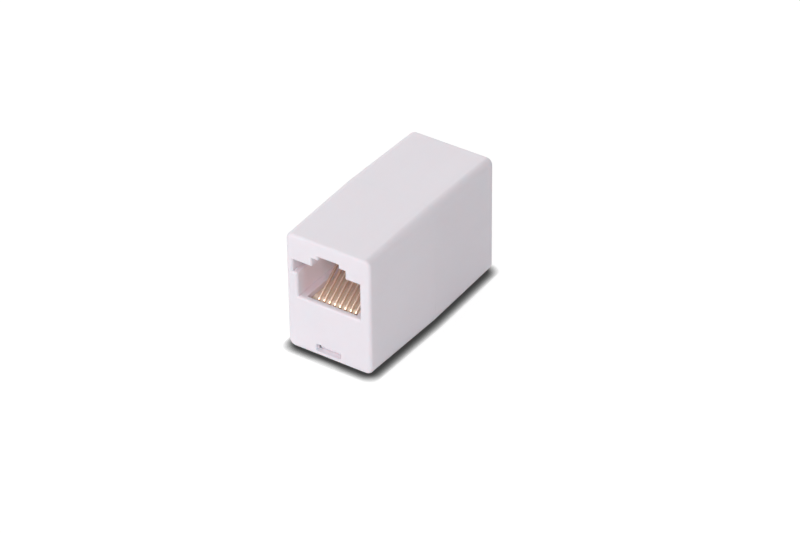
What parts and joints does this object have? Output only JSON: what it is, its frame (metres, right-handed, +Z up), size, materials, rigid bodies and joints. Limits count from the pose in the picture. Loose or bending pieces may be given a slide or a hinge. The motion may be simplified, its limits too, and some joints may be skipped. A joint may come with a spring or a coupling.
{
  "type": "modular inline coupler",
  "caption": "Small white moulded coupler that joins two modular plugs end to end, with a latched, keyed port in each end and gilt spring contacts inside.",
  "frame": {"origin": "under the middle of the length and width, level with the lowest line of the housing, where the two drafted halves meet", "axes": "+Y from the front port to the rear port, +Z up, with the front port in the upper half and its latch notch up; +X to the right of a viewer who faces the front port"},
  "size_m": [0.0168, 0.0356, 0.0225],
  "materials": {
    "housing": "fine moulded satin",
    "carrier": "moulded satin",
    "contact": "gilt over spring bronze",
    "lead_1": "blue insulation",
    "lead_2": "orange insulation",
    "lead_3": "black insulation",
    "lead_4": "red insulation",
    "lead_5": "green insulation",
    "lead_6": "yellow insulation",
    "lead_7": "brown insulation",
    "lead_8": "grey insulation"
  },
  "bodies": {
    "root": {"front_shell": "housing", "rear_shell": "housing", "front_carrier": "carrier", "rear_carrier": "carrier", "front_contact_1": "contact", "rear_contact_1": "contact", "lead_1": "lead_1", "front_contact_2": "contact", "rear_contact_2": "contact", "lead_2": "lead_2", "front_contact_3": "contact", "rear_contact_3": "contact", "lead_3": "lead_3", "front_contact_4": "contact", "rear_contact_4": "contact", "lead_4": "lead_4", "front_contact_5": "contact", "rear_contact_5": "contact", "lead_5": "lead_5", "front_contact_6": "contact", "rear_contact_6": "contact", "lead_6": "lead_6", "front_contact_7": "contact", "rear_contact_7": "contact", "lead_7": "lead_7", "front_contact_8": "contact", "rear_contact_8": "contact", "lead_8": "lead_8"}
  },
  "joints": []
}
